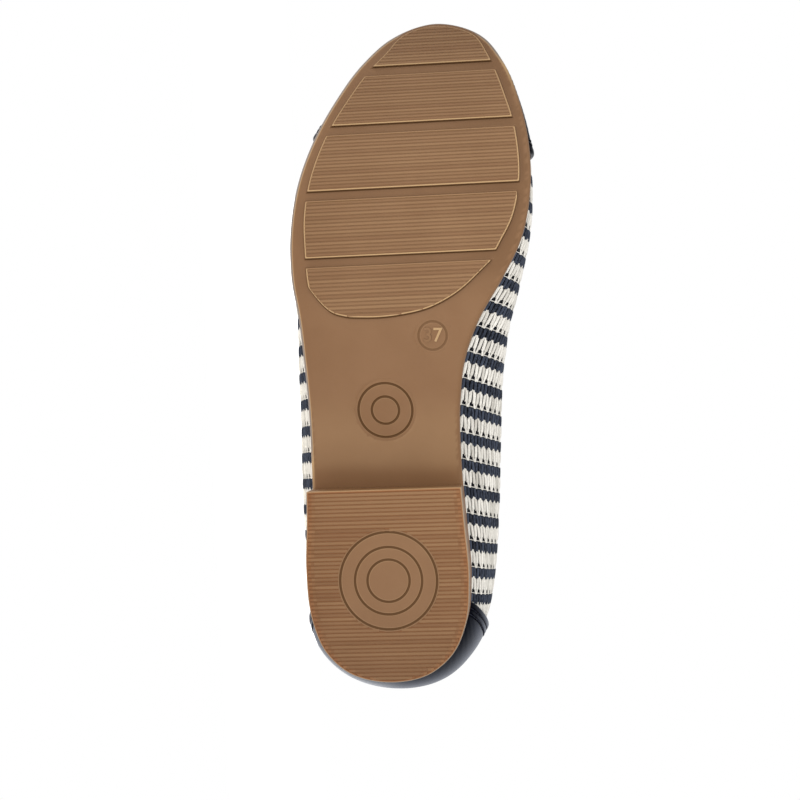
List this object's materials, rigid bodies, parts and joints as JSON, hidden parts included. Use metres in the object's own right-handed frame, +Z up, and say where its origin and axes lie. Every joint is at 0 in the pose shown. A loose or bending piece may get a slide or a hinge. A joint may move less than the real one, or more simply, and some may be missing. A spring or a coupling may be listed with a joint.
{
  "type": "ballet pump shoe",
  "caption": "Right ballet pump lying on its outer side: hollow knitted upper with leather toe cap and counter, rubber sole with ribbed pads, low block heel.",
  "frame": {"origin": "middle of the footprint, on the floor, with the shoe lying on its outer side", "axes": "+X from the toe towards the heel, +Y from the sole towards the collar, +Z up, which is the inner side of the shoe"},
  "size_m": [0.2598, 0.0856, 0.0941],
  "materials": {
    "tan_rubber": "moulded, satin",
    "insole_leather": "smooth, matte",
    "striped_knit": "chunky knit in navy and cream cross stripes",
    "navy_leather": "soft nappa, semi-gloss",
    "navy_binding": "fine ribbed tape"
  },
  "bodies": {
    "root": {"outsole": "tan_rubber", "heel": "tan_rubber", "insole": "insole_leather", "upper": "striped_knit", "toe_cap": "navy_leather", "heel_counter": "navy_leather", "topline_binding": "navy_binding"}
  },
  "joints": []
}
